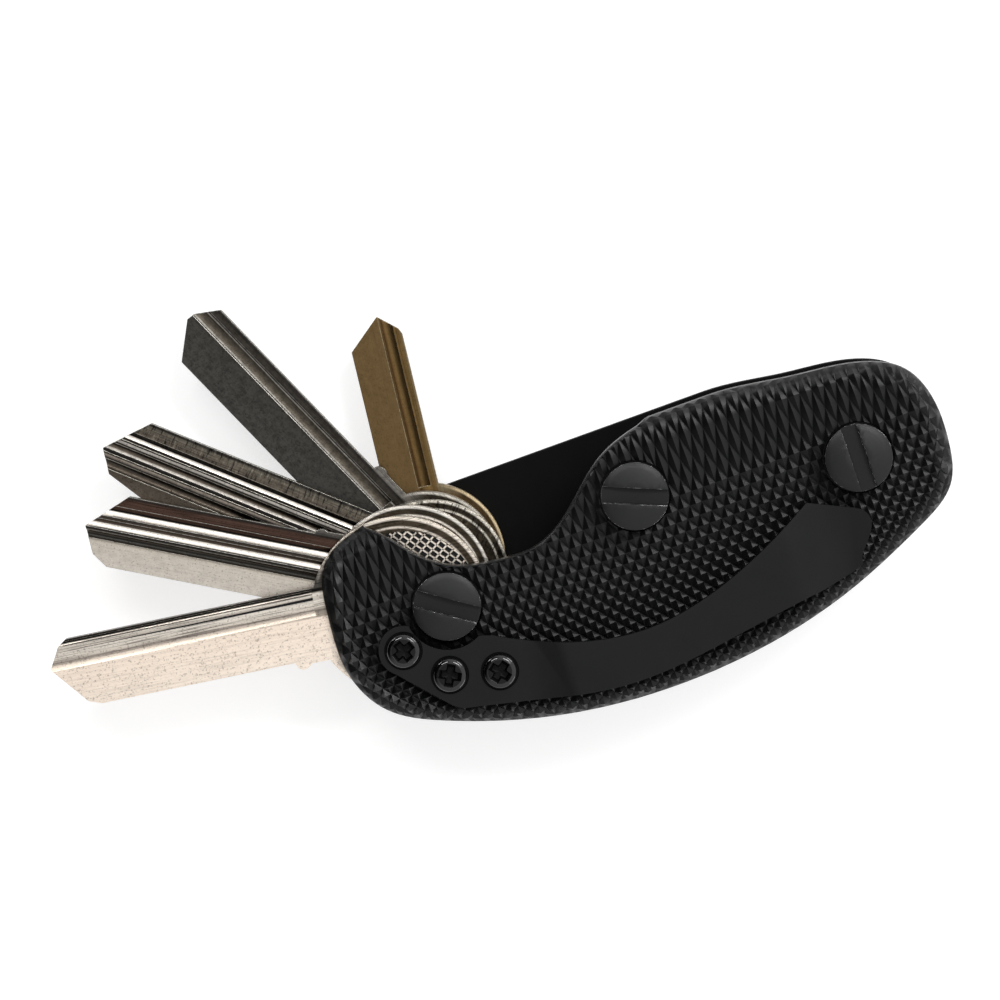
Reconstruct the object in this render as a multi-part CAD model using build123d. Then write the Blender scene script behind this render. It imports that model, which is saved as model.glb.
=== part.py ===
from build123d import *
import math
import os

# Key organiser, millimetres.
# X runs from the pivot post to the end post, Z is the thickness with the clip side up.
# The origin is on the pivot post's axis, on the flat outer face of its rear head.

# ---- body outline ----
post_span = 58.0            # pivot post to end post
tail = 15.8                 # pivot post to the round left end
nose = 12.5                 # end post to the blunt right end
top_reach = 14.5            # post line to the straight top edge
belly = 20.6                # post line to the lowest point of the belly
plate_t = 3.4               # each plate
edge_roll = 2.6             # radius that rolls the outer face over
middle_post = (28.4, 5.3)   # middle post, from the pivot post

# ---- posts and slotted screws ----
post_d = 5.0
post_fit = 0.05             # radial clearance on a post
head_d = 9.0
head_seat = 1.5             # depth of the counterbore that holds a head
head_proud = 0.7            # head edge above the plate
head_crown = 0.5            # dome on a front head
head_gap = 0.2              # radial gap round a head
head_chamfer = 0.4          # foot edge of a rear head and end of a shank
slot_w = 2.2
slot_depth = 1.1
slot_turns = (-34.8, -22.8, 89.0)   # degrees, pivot, middle and end screw
shank_d = 3.0
shank_len = 9.0
post_short = 0.1            # a post ends this far below the front seat
bore_extra = 1.0            # bore below the end of a shank
spacer_d = 7.5

# ---- keys and their washers, counted from the front ----
key_t = 2.0
washer_t = 0.3
washer_d = 8.0
key_play = 0.03             # each side of a key
tip_gap = 0.6               # longest key tip to the end spacer when folded
groove_run_out = 0.6        # a groove ends this far inside the bow
back_groove = 0.3           # deepest groove in a blade's back
shoulder_r = 1.1            # rounding of the stop shoulders beside a bow
bow_panel = 0.25            # depth of the panel in the first key's bow
bow_rim = 1.3               # rim left round that panel
panel_land = 0.4            # flat ring left round the washer
panel_shift = 0.8           # the panel's centre, from the bow's, away from the blade
blade_clearance = 0.25      # left between a swinging blade and the middle spacer

# ---- pocket clip ----
clip_t = 1.2
clip_rise = 0.9             # gap between the arm and the plate
clip_split = 9.0            # the springy arm starts here
clip_notch = 1.2            # clearance round the pivot head
clip_boss_r = 3.3
clip_screws = [(-7.4, -3.5), (-2.7, -8.6), (3.7, -10.4)]
clip_head_d = 4.6
clip_head_h = 1.5
clip_head_round = 0.7
clip_head_sink = 0.35       # depth of the recess round each head
clip_ring = 0.25            # width of that recess
clip_turns = (20, 62, 38)   # degrees, the cross recesses
clip_shank_d = 2.2
clip_shank_len = 3.6
clip_hole_fit = 0.2
clip_hole_extra = 0.3       # blind hole below the end of a shank
cross_w = 1.0
cross_len = 3.0
cross_depth = 0.9

KEYS = [
    # angle: blade's bearing in the fan; off: hole to centre line; short: how much less it reaches
    # than the longest key; bow_d: hole to bow centre; tip and heel: corners of the blade's end, as
    # (back from the end, share of the half width); shoulder: (side, place beyond the bow, how far it
    # stands out, how far its neck stands out);
    # grooves: (place across the blade, width, depth)
    dict(angle=171.8, width=9.4, off=-1.05, short=0.0, bow_r=11.9, bow_d=6.1,
         tip=((0.0, -0.22), (1.6, -0.82), (2.8, -1.0)), heel=((5.8, 1.0), (4.1, 0.86)),
         shoulder=((1.0, 3.3, 1.1, 0.5),), grooves=((-2.3, 3.2, 0.35), (-4.1, 0.6, 0.3))),
    dict(angle=149.0, width=9.8, off=-0.85, short=4.15, bow_r=11.2, bow_d=5.3,
         tip=((0.0, 0.0), (5.0, -1.0)), heel=((3.8, 1.0), (1.7, 0.72)),
         shoulder=((-1.0, 2.8, 0.7, 0.5),), grooves=((-2.6, 1.5, 0.45), (-0.7, 1.3, 0.4), (0.9, 1.0, 0.45))),
    dict(angle=138.0, width=10.0, off=-2.25, short=3.05, bow_r=10.4, bow_d=3.1,
         tip=((0.0, 0.1), (4.8, -1.0)), heel=((7.8, 1.0), (2.1, 0.69)),
         shoulder=(), grooves=((-2.3, 1.4, 0.4), (0.0, 1.5, 0.45), (2.2, 1.2, 0.4))),
    dict(angle=114.0, width=8.7, off=-0.85, short=2.15, bow_r=10.4, bow_d=5.1,
         tip=((0.0, -0.05), (0.1, -0.31), (2.2, -1.0)), heel=((3.6, 1.0),),
         shoulder=((-1.0, 4.0, 1.0, 0.7), (1.0, 3.6, 0.6, 0.3)), grooves=((-2.1, 2.0, 0.3),)),
    dict(angle=83.6, width=7.25, off=1.15, short=14.35, bow_r=10.4, bow_d=5.7,
         tip=((0.0, -0.21), (2.2, -0.9), (3.0, -1.0)), heel=((3.9, 1.0),),
         shoulder=(), grooves=((-1.7, 1.7, 0.45),)),
]

# ---- sizes worked out from the values above ----
key_count = len(KEYS)
gap = key_count * (key_t + 2 * key_play) + (key_count + 1) * washer_t
rear_out = head_proud
rear_in = rear_out + plate_t
front_in = rear_in + gap
front_out = front_in + plate_t
head_r = head_d / 2
post_hole_r = post_d / 2 + post_fit
posts = [(0.0, 0.0), middle_post, (post_span, 0.0)]
key_reach = post_span - spacer_d / 2 - tip_gap
far = post_span + nose


def cyl(x, y, z, r, h):
    """Upright cylinder standing at z."""
    return Pos(x, y, z) * Cylinder(r, h, align=(Align.CENTER, Align.CENTER, Align.MIN))


def bar(length, width, height, z, x=0.0, y=0.0):
    """Upright block centred on x, y and standing at z."""
    return Pos(x, y, z) * Box(length, width, height, align=(Align.CENTER, Align.CENTER, Align.MIN))


def save(shape, name):
    export_step(shape, f"parts/{name}.step")


# ---- plates ----
def body_face():
    """Side view of the body: one straight top edge and one long curve round the rest."""
    left, right = (3.0, top_reach), (post_span - 16.0, top_reach)
    around = [
        right,
        (far - 17.5, top_reach - 1.3),
        (far - 7.2, top_reach - 2.9),
        (far - 2.5, top_reach - 5.6),
        (far - 0.3, top_reach - 10.5),
        (far - 0.2, -belly + 18.6),
        (far - 1.8, -belly + 13.0),
        (far - 7.5, -belly + 9.0),
        (far - 20.3, -belly + 3.7),
        (post_span / 2, -belly),
        (9.2, -belly + 1.5),
        (-5.9, -belly + 6.2),
        (-tail + 3.2, -belly + 10.3),
        (-tail + 0.2, -belly + 16.4),
        (-tail + 0.3, -belly + 24.5),
        (-tail + 2.3, top_reach - 3.8),
        (-6.6, top_reach - 0.7),
        left,
    ]
    curve = Spline(*around, tangents=[(1, 0), (1, 0)])
    return make_face([Line(left, right), curve])


def bite_face():
    """Thumb bite in the front plate: an S from the lobe, under the keys' bows, to the top edge."""
    over = top_reach + 6.0
    shore = Spline(
        (-10.0, top_reach + 0.2),
        (-6.9, top_reach - 0.8),
        (-4.9, 11.9),
        (-0.5, 6.8),
        (3.6, 4.4),
        (8.8, 3.4),
        (13.6, 3.4),
        (18.0, 5.4),
        (22.6, 9.3),
        (27.0, 12.4),
        (31.5, top_reach - 0.5),
        (37.0, top_reach + 0.6),
    )
    back = Polyline(shore @ 1, (37.0, over), (-10.0, over), shore @ 0)
    return make_face([shore, back])


def plate_holes(outer, inward):
    """Post holes and head counterbores, cut from the outer face in the inward direction."""
    cut = None
    for x, y in posts:
        low = min(outer, outer + inward * plate_t)
        hole = cyl(x, y, low - 1, post_hole_r, plate_t + 2)
        seat_low = outer - head_seat if inward < 0 else outer - 1
        hole += cyl(x, y, seat_low, head_r + head_gap, head_seat + 1)
        cut = hole if cut is None else cut + hole
    return cut


def rolled(z_low, outer_up):
    """The body slab with its outer edge rolled over."""
    slab = Pos(0, 0, z_low) * extrude(body_face(), plate_t)
    rim = slab.faces().sort_by(Axis.Z)[-1 if outer_up else 0].edges()
    return fillet(rim, edge_roll)


def front_plate():
    plate = rolled(front_in, True) - Pos(0, 0, front_in - 1) * extrude(bite_face(), plate_t + 2)
    plate -= plate_holes(front_out, -1)
    for x, y in clip_screws:
        deep = clip_shank_len - clip_t + clip_head_sink + clip_hole_extra
        plate -= cyl(x, y, front_out - deep, clip_shank_d / 2 + post_fit, deep + 1)
    return plate


def rear_plate():
    return rolled(rear_in - plate_t, False) - plate_holes(rear_out, 1)


# ---- posts and screws ----
def barrel(x, y):
    """Rear head with a hollow post that reaches into the front plate."""
    head = cyl(x, y, 0, head_r, head_proud + head_seat)
    head = chamfer(head.faces().sort_by(Axis.Z)[0].edges(), head_chamfer)
    foot = head_proud + head_seat
    top = front_out - head_seat - post_short
    tube = cyl(x, y, foot, post_d / 2, top - foot)
    bore_low = top - shank_len - bore_extra
    bore = cyl(x, y, bore_low, shank_d / 2 + post_fit, top + 1 - bore_low)
    return head + tube - bore


def slotted_screw(x, y, turn):
    """Front screw: low dome with a coin slot, and a shank that goes down the post."""
    seat = front_out - head_seat
    edge = head_seat + head_proud
    ball_r = (head_r ** 2 + head_crown ** 2) / (2 * head_crown)
    head = cyl(0, 0, 0, head_r, edge + head_crown)
    head &= Pos(0, 0, edge + head_crown - ball_r) * Sphere(ball_r)
    head -= Rot(0, 0, turn) * bar(head_d + 1, slot_w, slot_depth + 1, edge + head_crown - slot_depth)
    shank = cyl(0, 0, -shank_len, shank_d / 2, shank_len)
    shank = chamfer(shank.faces().sort_by(Axis.Z)[0].edges(), head_chamfer)
    return Pos(x, y, seat) * (head + shank)


def ring(x, y, z, d, h):
    return cyl(x, y, z, d / 2, h) - cyl(x, y, z - 1, post_hole_r, h + 2)


# ---- keys ----
def key_outline(k):
    """Blade with its chamfered tip, then the round bow, on a centre line along +X."""
    half = k["width"] / 2
    tip = key_reach - k["short"]
    root = k["bow_d"]
    upper = [(tip - back, side * half) for back, side in k["tip"]]
    lower = [(tip - back, side * half) for back, side in k["heel"]]
    blade = Polygon((root, -half), *reversed(upper), *reversed(lower), (root, half), align=None)
    outline = blade + Pos(root, 0) * Circle(k["bow_r"])
    shoulder_x = root + math.sqrt(k["bow_r"] ** 2 - half ** 2)
    for side, place, out, neck in k["shoulder"]:
        outline += Pos(shoulder_x + place, side * (half + out - shoulder_r)) * Circle(shoulder_r)
        outline += Pos(shoulder_x + place / 2 - 1, side * (half + neck - shoulder_r)) * Rectangle(
            place + 2, 2 * shoulder_r)
    return outline


def groove(k, side, width, depth, z_face, inward):
    """Round-bottomed groove from the tip to just inside the bow."""
    r = (width ** 2 / 4 + depth ** 2) / (2 * depth)
    start = k["bow_d"] + k["bow_r"] - groove_run_out
    length = key_reach
    z = z_face - inward * (r - depth)
    rod = Pos(start, side, z) * Rot(0, 90, 0) * Cylinder(
        r, length, align=(Align.CENTER, Align.CENTER, Align.MIN))
    keep = Pos(start, side, z_face) * Box(
        length, width + 0.4, 2 * depth + 0.2, align=(Align.MIN, Align.CENTER, Align.CENTER))
    return rod & keep


def key(k, number):
    """One key, turned to its place in the fan."""
    body = extrude(key_outline(k), key_t)
    for side, width, depth in k["grooves"]:
        body -= groove(k, side, width, depth, key_t, -1)
        body -= groove(k, -side, width, min(depth, back_groove), 0, 1)
    if number == 1:
        panel = Pos(-panel_shift, 0) * Circle(k["bow_r"] - bow_rim - panel_shift)
        panel -= Pos(-k["bow_d"], -k["off"]) * Circle(washer_d / 2 + panel_land)
        body -= Pos(k["bow_d"], 0, key_t - bow_panel) * extrude(panel, bow_panel + 1)
    body = Pos(0, k["off"], 0) * body
    body -= cyl(0, 0, -1, post_hole_r, key_t + 2)
    layer = key_count - number
    z = rear_in + washer_t + key_play + layer * (key_t + 2 * key_play + washer_t)
    return Pos(0, 0, z) * Rot(0, 0, k["angle"]) * body


# ---- pocket clip ----
def clip_face():
    """Front view of the clip: a boss, a notch round the pivot head and a broad curved arm."""
    top_edge = Spline((4.4, -5.6), (14.7, -10.2), (23.4, -11.7), (33.6, -10.2), (49.4, -3.2))
    end = [(54.8, -5.8), (56.7, -8.2), (54.0, -12.3), (48.0, -14.8)]
    tip = Spline(*end, tangents=[(2.2, -0.9), (-3, -0.6)])
    under = Spline((48.0, -14.8), (34.0, -16.7), (19.0, -17.8), (6.0, -15.4), (-2.6, -13.4))
    boss = clip_screws[0]
    shin = (boss[0] - 2.9, boss[1] - 1.6)
    lead = Polyline(under @ 1, (-3.7, -12.6), shin, (boss[0], boss[1] + 2.0), top_edge @ 0)
    face = make_face([top_edge, Line(top_edge @ 1, tip @ 0), tip, under, lead])
    face += Pos(*boss) * Circle(clip_boss_r)
    return face - Circle(head_r + clip_notch)


def clip_sheet():
    """Bent strip seen from the side: flat pad, step up, long arm, dip and lifted tip."""
    low = [(-14, 0), (clip_split, 0), (clip_split + 4, clip_rise), (44, clip_rise),
           (51, 0.15), (post_span, 0.8)]
    upper = [(x, z + clip_t) for x, z in reversed(low)]
    side = make_face(Polyline(*low, *upper, close=True))
    return Pos(0, 10, front_out) * extrude(Plane.XZ * side, 40)


def clip():
    """Pad and arm, cut from one strip."""
    strip = clip_sheet() & (Pos(0, 0, front_out - 1) * extrude(clip_face(), clip_t + clip_rise + 3))
    for x, y in clip_screws:
        strip -= cyl(x, y, front_out - 1, clip_shank_d / 2 + clip_hole_fit, clip_t + 2)
        strip -= cyl(x, y, front_out + clip_t - clip_head_sink, clip_head_d / 2 + clip_ring, 2)
    knife = Pos(clip_split, 0, front_out) * Box(200, 100, 20, align=(Align.MIN, Align.CENTER, Align.CENTER))
    return strip - knife, strip & knife


def clip_screw(x, y, turn):
    """Small pan-head screw with a cross recess."""
    head = cyl(0, 0, 0, clip_head_d / 2, clip_head_h)
    head = fillet(head.faces().sort_by(Axis.Z)[-1].edges(), clip_head_round)
    for arm in (0, 90):
        head -= Rot(0, 0, arm + turn) * bar(cross_len, cross_w, cross_depth + 1, clip_head_h - cross_depth)
    shank = cyl(0, 0, -clip_shank_len, clip_shank_d / 2, clip_shank_len)
    return Pos(x, y, front_out + clip_t - clip_head_sink) * (head + shank)


os.makedirs("parts", exist_ok=True)
save(front_plate(), "front_plate")
save(rear_plate(), "rear_plate")
for name, (x, y), turn in zip(("pivot", "middle", "end"), posts, slot_turns):
    save(barrel(x, y), f"{name}_barrel")
    save(slotted_screw(x, y, turn), f"{name}_screw")
for name, (x, y) in zip(("middle", "end"), posts[1:]):
    save(ring(x, y, rear_in, spacer_d, gap), f"{name}_spacer")
for number, k in enumerate(KEYS, 1):
    save(key(k, number), f"key_{number}")
for layer in range(key_count + 1):
    z = rear_in + layer * (key_t + 2 * key_play + washer_t)
    save(ring(0, 0, z, washer_d, washer_t), f"key_washer_{layer + 1}")
clip_base, clip_arm = clip()
save(clip_base, "clip_base")
save(clip_arm, "clip_arm")
for number, ((x, y), turn) in enumerate(zip(clip_screws, clip_turns), 1):
    save(clip_screw(x, y, turn), f"clip_screw_{number}")

# where each blade meets the middle spacer, as turns from the fan (positive is anticlockwise)
reach = math.hypot(*middle_post)
bearing = math.degrees(math.atan2(middle_post[1], middle_post[0]))
for number, k in enumerate(KEYS, 1):
    stand_off = spacer_d / 2 + blade_clearance
    upper = math.degrees(math.asin((k["width"] / 2 + k["off"] + stand_off) / reach))
    lower = math.degrees(math.asin((k["width"] / 2 - k["off"] + stand_off) / reach))
    first, last = bearing + lower - k["angle"], 360 + bearing - upper - k["angle"]
    print(f"key_{number} turns from {first:.1f} to {last:.1f}")
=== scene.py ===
import math
from collections import Counter, defaultdict

import bmesh
import bpy
import numpy as np
from mathutils import Matrix, Vector, geometry


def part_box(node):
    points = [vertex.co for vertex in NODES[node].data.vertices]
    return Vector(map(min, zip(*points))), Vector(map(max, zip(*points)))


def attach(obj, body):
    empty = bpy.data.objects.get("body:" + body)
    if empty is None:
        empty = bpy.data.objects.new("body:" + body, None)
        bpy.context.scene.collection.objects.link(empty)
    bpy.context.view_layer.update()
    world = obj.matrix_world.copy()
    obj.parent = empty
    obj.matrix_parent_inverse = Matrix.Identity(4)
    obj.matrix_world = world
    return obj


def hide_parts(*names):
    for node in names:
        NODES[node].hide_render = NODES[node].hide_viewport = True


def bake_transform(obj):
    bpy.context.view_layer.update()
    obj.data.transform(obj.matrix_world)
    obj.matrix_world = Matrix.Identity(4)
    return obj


# Key organiser: two knurled black plates, a fan of keys on the pivot post and a pocket clip.
# Lengths of the part are millimetres in its own frame, times MM where Blender needs metres. The
# studio's are metres.

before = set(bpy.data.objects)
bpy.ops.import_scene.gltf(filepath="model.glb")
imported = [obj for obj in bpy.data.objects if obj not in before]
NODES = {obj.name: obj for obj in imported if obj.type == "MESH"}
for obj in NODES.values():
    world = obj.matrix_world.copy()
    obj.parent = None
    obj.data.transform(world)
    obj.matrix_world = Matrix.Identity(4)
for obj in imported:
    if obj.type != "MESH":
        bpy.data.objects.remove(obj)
MM = 0.001

# ---- knurling on the plates' outer faces ----
KNURL_PITCH = 1.7          # along X, from valley to valley
KNURL_DEPTH = 0.52
LEAN_MID = 0.56            # tangent of the valley lines' angle from Y, on the post line
LEAN_RATE = 0.031          # how fast the lines straighten up towards the top edge
LEAN_RANGE = (0.27, 0.95)
ROLL_STEPS = 6             # rows of faces round the rolled edge
RIM_FADE = (0.05, 0.7)     # the knurling grows from nothing over this distance from the rim
BITE_RIM = 0.15            # smooth bevel along the thumb bite
BITE_STEP = 0.25           # from that bevel to the full depth of the knurling
HEAD_RIM = 0.1             # bevel round a counterbore
FOOT_BEVEL = 0.15          # edge of the inner face
HOLE_SIDES = 72

# ---- clip and its screws ----
CLIP_BEVEL = 0.16
CLIP_RING_DEPTH = 0.35     # recess round each screw
NOTCH_SHADE_R = 5.75             # reach of the painted shade strip between the pivot head and the clip's pad
NOTCH_SHADE_BELOW = -1.5         # highest y of that strip
NOTCH_SHADE_X = (-5.6, 3.6)
SCREW_HEAD_H = 1.5
SCREW_ROLL_R = 0.7         # rolled edge of the head
SCREW_SHANK_R = 1.1
SCREW_CHAMFER = 0.3        # end of the shank
SCREW_SIDES = 96
CROSS_LENGTH, CROSS_WIDTH, CROSS_DEPTH = 3.0, 1.1, 1.05
SCREW_TURNS = (20, 62, 38)  # degrees

# ---- the keys ----
PANEL_DEPTH = 0.25         # sunk panel in the front key's bow
PANEL_R = 9.8              # reach of the crosshatch in it
PANEL_X = 5.3              # its centre, from the pivot along the blade
LAND_R = 4.4               # plain ring round the pivot, for the washer
RIDGE_DROP = 0.02          # crests of the crosshatch below the bow's face
RIDGE_FOOT, RIDGE_CREST = 0.17, 0.1    # half widths of a ridge
RIDGE_LINES = ((38, 1.05), (-47, 0.8))  # degrees from the blade, and pitch

# bearing of each blade in the fan, offset of its centre line from the pivot, and width
KEY_LINES = {
    "key_1": (171.8, -1.05, 9.4),
    "key_2": (149.0, -0.85, 9.8),
    "key_3": (138.0, -2.25, 10.0),
    "key_4": (114.0, -0.85, 8.7),
    "key_5": (83.6, 1.15, 7.25),
}


def to_metres(points):
    return np.asarray(points, float) * MM


def centre_of(node):
    """Middle of a node's box in plan, and its lowest and highest z, in millimetres."""
    low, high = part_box(node)
    return (low.x + high.x) / 2 / MM, (low.y + high.y) / 2 / MM, low.z / MM, high.z / MM


POSTS = [centre_of(f"{name}_screw")[:2] for name in ("pivot", "middle", "end")]


# ---- reading outlines from the frame ----
def flat_loops(node, z):
    """Border loops of a node's flat face at height z, as (n, 2) arrays, longest first."""
    mesh = NODES[node].data
    places = {}
    index = [places.setdefault(tuple(round(c / MM, 4) for c in v.co), len(places))
             for v in mesh.vertices]
    points = np.array(list(places))
    uses = Counter()
    for face in mesh.polygons:
        corners = [index[i] for i in face.vertices]
        if all(abs(points[i][2] - z) < 0.01 for i in corners):
            for a, b in zip(corners, corners[1:] + corners[:1]):
                if a != b:
                    uses[frozenset((a, b))] += 1
    links = defaultdict(list)
    for edge, count in uses.items():
        if count == 1:
            a, b = edge
            links[a].append(b)
            links[b].append(a)
    loops = []
    left = set(links)
    while left:
        start = min(left)
        loop = [start]
        left.discard(start)
        while True:
            ahead = [i for i in links[loop[-1]] if i in left]
            if not ahead:
                break
            loop.append(ahead[0])
            left.discard(ahead[0])
        loops.append(points[loop][:, :2])
    return sorted(loops, key=lambda loop: -len_of(loop))


def len_of(loop):
    return np.linalg.norm(loop - np.roll(loop, -1, 0), axis=1).sum()


def area_of(loop):
    x, y = loop[:, 0], loop[:, 1]
    return 0.5 * np.sum(x * np.roll(y, -1) - np.roll(x, -1) * y)


def anticlockwise(loop):
    return loop if area_of(loop) > 0 else loop[::-1]


def circle(x, y, r, sides=HOLE_SIDES):
    turn = np.arange(sides) * 2 * math.pi / sides
    return np.stack([x + r * np.cos(turn), y + r * np.sin(turn)], 1)


def edge_distance(points, loop):
    """Distance from each point to a closed loop, and the unit vector that points to the loop."""
    a, b = loop, np.roll(loop, -1, 0)
    along = b - a
    square = np.maximum((along ** 2).sum(1), 1e-12)
    best = np.full(len(points), 1e9)
    toward = np.zeros_like(points)
    for start in range(0, len(points), 2000):
        part = points[start:start + 2000]
        share = np.clip(((part[:, None] - a) * along).sum(2) / square, 0, 1)
        nearest = a + share[..., None] * along
        gap = np.linalg.norm(part[:, None] - nearest, axis=2)
        pick = gap.argmin(1)
        rows = np.arange(len(part))
        best[start:start + 2000] = gap[rows, pick]
        toward[start:start + 2000] = nearest[rows, pick] - part
    length = np.maximum(np.linalg.norm(toward, axis=1), 1e-9)
    return best, toward / length[:, None]


def inside(points, loop):
    """Even-odd test of points against a closed loop."""
    found = np.zeros(len(points), bool)
    for (ax, ay), (bx, by) in zip(loop, np.roll(loop, -1, 0)):
        if ay == by:
            continue
        crosses = (ay > points[:, 1]) != (by > points[:, 1])
        found ^= crosses & (points[:, 0] < ax + (points[:, 1] - ay) * (bx - ax) / (by - ay))
    return found


def inset(loop, distance):
    """The loop moved inwards, without the points that come too near another stretch of it."""
    loop = anticlockwise(loop)
    tangent = np.roll(loop, -1, 0) - np.roll(loop, 1, 0)
    tangent /= np.linalg.norm(tangent, axis=1)[:, None]
    moved = loop + distance * np.stack([-tangent[:, 1], tangent[:, 0]], 1)
    clear = edge_distance(moved, loop)[0] > distance * 0.97
    return moved[clear]


# ---- knurling ----
def lean(y):
    return np.clip(LEAN_MID - LEAN_RATE * y, *LEAN_RANGE)


LEAN_Y = np.linspace(-30.0, 30.0, 6001)
LEAN_STEPS = (lean(LEAN_Y[1:]) + lean(LEAN_Y[:-1])) / 2 * np.diff(LEAN_Y)
LEAN_SUM = np.concatenate([[0], np.cumsum(LEAN_STEPS)])
LEAN_SUM -= np.interp(0.0, LEAN_Y, LEAN_SUM)


def knurl_height(points):
    """0 in the valleys and 1 on the points of the pyramids."""
    side = np.interp(points[:, 1], LEAN_Y, LEAN_SUM)
    u = (points[:, 0] + side) / KNURL_PITCH
    v = (points[:, 0] - side) / KNURL_PITCH
    return 1 - 2 * np.maximum(abs(u - np.floor(u) - 0.5), abs(v - np.floor(v) - 0.5))


def knurl_lines(low, high):
    """Valley and ridge lines of every pyramid in a box, as points and edges."""
    points, edges, places = [], [], {}

    def corner(i, j):
        """Number of the lattice point at u = i/2 and v = j/2."""
        if (i, j) not in places:
            places[i, j] = len(points)
            side = KNURL_PITCH * (i - j) / 4
            points.append((KNURL_PITCH * (i + j) / 4, float(np.interp(side, LEAN_SUM, LEAN_Y))))
        return places[i, j]

    side_low, side_high = np.interp([low[1], high[1]], LEAN_Y, LEAN_SUM)
    first = int(math.floor((low[0] + side_low) / KNURL_PITCH)) - 1
    last = int(math.ceil((high[0] + side_high) / KNURL_PITCH)) + 1
    for i in range(first, last):
        for j in range(int((low[0] - side_high) / KNURL_PITCH) - 2,
                       int((high[0] - side_low) / KNURL_PITCH) + 2):
            x = KNURL_PITCH * (i + j + 1) / 2
            side = KNURL_PITCH * (i - j) / 2
            if not (low[0] - 2 < x < high[0] + 2
                    and side_low - 1 < side < side_high + 1):
                continue
            top = corner(2 * i + 1, 2 * j + 1)
            feet = [corner(2 * (i + a), 2 * (j + b)) for a, b in ((0, 0), (1, 0), (1, 1), (0, 1))]
            edges += [(top, foot) for foot in feet]
            edges += list(zip(feet, feet[1:] + feet[:1]))
    return np.array(points), edges


def smooth(value, low, high):
    t = np.clip((value - low) / (high - low), 0, 1)
    return t * t * (3 - 2 * t)


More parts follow.
